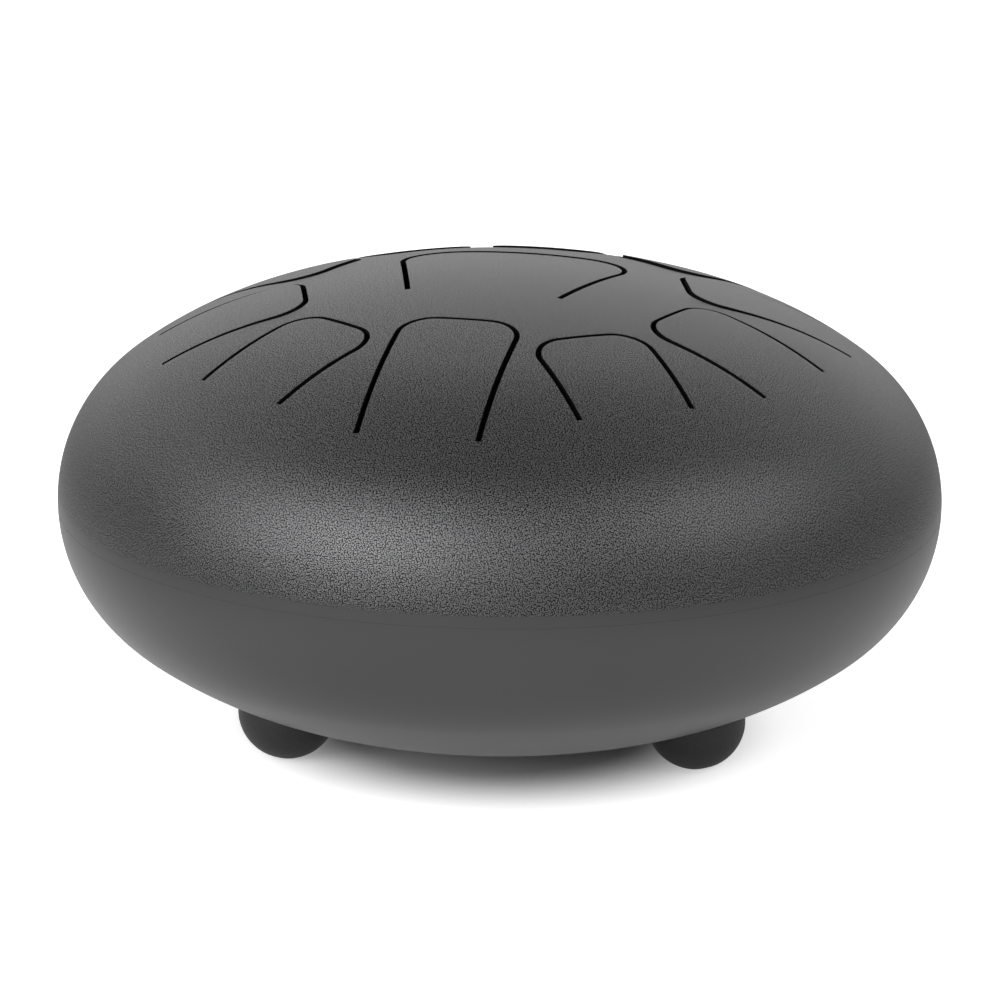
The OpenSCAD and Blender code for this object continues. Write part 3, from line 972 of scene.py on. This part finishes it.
class DRUM_OT_fasteners(Operator):
    """Build the screws, washers and lock nuts that hold the feet"""

    bl_idname = "drum.fasteners"
    bl_label = "Fasteners"

    def execute(self, context):
        scene = context.scene
        shell, feet, own = scene.drum_shell, scene.drum_feet, scene.drum_fasteners
        zinc, nylon = zinc_material(scene.drum_finish), nylon_material(scene.drum_finish)
        washer, insert = washer_tree(zinc, own.around), washer_tree(nylon, own.around)
        nut, screw = nut_tree(zinc, own.around), screw_tree(zinc, own.around)
        washer_r, hollow = own.shell_washer_d / 2, shell.crown_r - shell.sheet_t
        head_seat = -feet.floor_t - own.foot_washer_t
        washer_seat = shell.sheet_t + hollow - math.sqrt(hollow * hollow - washer_r * washer_r)
        nut_seat = washer_seat + own.shell_washer_t
        nut_top = nut_seat + own.nut_h
        pocket_d = own.nut_af - 2 * (own.collar_step + own.collar_wall)
        bore = own.screw_d + 2 * own.play

        def ring(outside, bore, thickness, seat):
            return {"Outside": outside, "Bore": bore, "Thickness": thickness, "Seat": seat}

        foot_washer = ring(own.foot_washer_d, shell.hole_d, own.foot_washer_t, head_seat)
        shell_washer = ring(own.shell_washer_d, shell.hole_d, own.shell_washer_t, washer_seat)
        nut_insert = ring(pocket_d - 2 * own.play, bore, own.collar_h - own.lip, nut_top)
        kinds = (
            ("foot_washer", washer, "zinc", foot_washer),
            ("shell_washer", washer, "zinc", shell_washer),
            ("nut_insert", insert, "nylon", nut_insert),
            ("nut", nut, "zinc", {"Bore": bore, "Seat": nut_seat}),
            ("screw", screw, "zinc", {"Seat": head_seat, "Tip": nut_top + own.collar_h + own.tail}),
        )
        for kind, tree, slot, seats in kinds:
            for foot, sizes in each_foot(scene):
                run_tree(f"{kind}_{foot}_finished", tree, sizes | seats, slot, f"{kind}_{foot}")
        return {"FINISHED"}


def direction(azimuth, elevation):
    level = math.cos(elevation)
    return Vector((math.cos(azimuth) * level, math.sin(azimuth) * level, math.sin(elevation)))


class DRUM_OT_studio(Operator):
    """Set up the camera, floor, surroundings and lamps"""

    bl_idname = "drum.studio"
    bl_label = "Studio"

    def execute(self, context):
        scene, studio = context.scene, context.scene.drum_studio
        target = Vector((0, 0, scene.drum_shell.equator_z))
        self.camera(scene, studio, target)
        self.floor(studio)
        self.surroundings(scene, studio)
        self.softboxes(studio, target)
        scene.view_settings.view_transform = "Standard"
        return {"FINISHED"}

    def camera(self, scene, studio, target):
        data = bpy.data.cameras.new("Camera")
        data.lens, data.sensor_width = studio.lens, 36
        data.shift_x, data.shift_y = 0.00074, -0.00783
        held = new_object("Camera", data)
        back, roll = direction(studio.azimuth, studio.elevation), studio.roll
        right = Vector((0, 0, 1)).cross(back).normalized()
        up = back.cross(right)
        across = right * math.cos(roll) + up * math.sin(roll)
        along = up * math.cos(roll) - right * math.sin(roll)
        turned = Matrix((across, along, back)).transposed().to_4x4()
        held.matrix_world = Matrix.Translation(target + back * studio.distance) @ turned
        scene.camera = held

    def softboxes(self, studio, target):
        for name, (azimuth, elevation, width, height, watts) in SOFTBOXES.items():
            lamp = bpy.data.lights.new(name, "AREA")
            lamp.shape = "RECTANGLE"
            lamp.size, lamp.size_y, lamp.energy = width, height, watts
            held = new_object(name, lamp)
            way = direction(studio.azimuth + math.radians(azimuth), math.radians(elevation))
            held.location = target + way * studio.lamp_distance
            held.rotation_euler = way.to_track_quat("Z", "Y").to_euler()

    def floor(self, studio):
        far = studio.floor_reach
        mesh = bpy.data.meshes.new("Floor")
        mesh.from_pydata([(-far, -far, 0), (far, -far, 0), (far, far, 0), (-far, far, 0)], [], [(0, 1, 2, 3)])
        floor = new_object("Floor", mesh)
        made, nodes, shader = material("Floor")
        # Where each change starts and ends, in metres from the axis or from the camera's line
        under, beside, near, away = (0.05, 0.1), (0.07, 0.2), (0.15, 0.4), (0.2, 0.8)
        seen_glow, painted_reflection_glow, painted_side_reflection_glow = 0.7, 0.16, 0.2
        path = nodes.node("ShaderNodeLightPath").outputs
        seen, mirrored = Value(nodes, path["Is Camera Ray"]), Value(nodes, path["Is Glossy Ray"])
        x, y, _ = nodes.split(nodes.on_object())
        across = nodes.math("ABSOLUTE", y * math.cos(studio.azimuth) - x * math.sin(studio.azimuth))
        r = nodes.root(x * x + y * y)
        at_side = nodes.ease(across, *beside, 0.0, 1.0)
        at_drum = nodes.ease(r, *near, 1.0, 0.0)
        # Under the drum the camera's glow fades out: a painted shadow on the floor, dark through the slots and
        # port
        seen_with_painted_shadow = seen * nodes.ease(r, *under, 0.0, 1.0)
        # Near the drum the floor glows for mirrored rays only, more at its sides: a painted reflection in the
        # lower shell
        glow = seen_with_painted_shadow * seen_glow + mirrored * at_drum * (painted_reflection_glow + at_side * painted_side_reflection_glow)
        # For mirrored rays the far floor turns darker: painted shade in the drum's reflections
        painted_far_shade = mirrored * nodes.ease(r, *away, 0.0, 1.0)
        nodes.feed(shader.inputs["Base Color"], nodes.blend(painted_far_shade, studio.floor, studio.far_floor_mirrored_shade))
        shader.inputs["Roughness"].default_value = 0.9
        shader.inputs["Specular IOR Level"].default_value = 0.1
        light = nodes.made("ShaderNodeEmission", {"Color": (1, 1, 1, 1), "Strength": glow})
        both = nodes.made("ShaderNodeAddShader", {0: shader.outputs[0], 1: light})
        # Seen from below, the floor is left out, so that the drum's underside can be looked at
        below = seen * nodes.value("ShaderNodeNewGeometry", output="Backfacing")
        clear = nodes.made("ShaderNodeBsdfTransparent")
        one_sided = nodes.made("ShaderNodeMixShader", {0: below, 1: both, 2: clear})
        nodes.feed(nodes.own("OUTPUT_MATERIAL").inputs[0], one_sided)
        mesh.materials.append(made)

    def surroundings(self, scene, studio):
        world = bpy.data.worlds.new("Studio")
        world.use_nodes = True
        scene.world = world
        nodes = Nodes(world.node_tree)
        # Seen by the camera, the room is white. Mirrored, it is dimmer behind the camera and overhead.
        behind_camera, overhead, unseen = 0.45, 0.55, 0.4
        path = nodes.node("ShaderNodeLightPath").outputs
        by_camera = Value(nodes, path["Is Camera Ray"])
        by_surfaces = [Value(nodes, path[name]) for name in ("Is Glossy Ray", "Is Transmission Ray")]
        seen = reduce(lambda a, b: nodes.math("MAXIMUM", a, b), by_surfaces, by_camera)
        x, y, rise = nodes.split(nodes.made("ShaderNodeTexCoord", output="Generated"))
        behind = -(x * math.cos(studio.azimuth) + y * math.sin(studio.azimuth))
        backdrop = nodes.ease(behind, 0.3, 0.9, behind_camera, 1.0)
        ceiling = nodes.ease(rise, 0.7, 0.98, 1.0, overhead)
        white = nodes.pick(seen, nodes.pick(by_camera, 1.0, backdrop * ceiling), unseen)
        background = nodes.own("BACKGROUND")
        background.inputs["Color"].default_value = (1, 1, 1, 1)
        nodes.feed(background.inputs["Strength"], white)


class DRUM_PT_panel(Panel):
    """Lists the drum's pieces and their sizes"""

    bl_idname = "DRUM_PT_panel"
    bl_label = "Steel tongue drum"
    bl_space_type = "VIEW_3D"
    bl_region_type = "UI"
    bl_category = "Drum"

    def draw(self, context):
        for operator in OPERATORS:
            self.layout.operator(operator.bl_idname)
        for place, group in SETTINGS.items():
            box = self.layout.box()
            for key in group.__annotations__:
                box.prop(getattr(context.scene, place), key)


SETTINGS = {
    "drum_shell": ShellSizes,
    "drum_tongues": TongueSizes,
    "drum_feet": FootSizes,
    "drum_fasteners": FastenerSizes,
    "drum_finish": Finish,
    "drum_studio": StudioSettings,
}
OPERATORS = (DRUM_OT_upper_shell, DRUM_OT_lower_shell, DRUM_OT_feet, DRUM_OT_fasteners, DRUM_OT_studio)
CLASSES = (*SETTINGS.values(), *OPERATORS, DRUM_PT_panel)


def register():
    for made in CLASSES:
        bpy.utils.register_class(made)
    for name, group in SETTINGS.items():
        setattr(bpy.types.Scene, name, PointerProperty(type=group))


def unregister():
    for name in SETTINGS:
        delattr(bpy.types.Scene, name)
    for made in reversed(CLASSES):
        bpy.utils.unregister_class(made)


def main():
    register()
    bpy.ops.drum.upper_shell()
    bpy.ops.drum.lower_shell()
    bpy.ops.drum.feet()
    bpy.ops.drum.fasteners()
    bpy.ops.drum.studio()


if __name__ == "__main__":
    main()
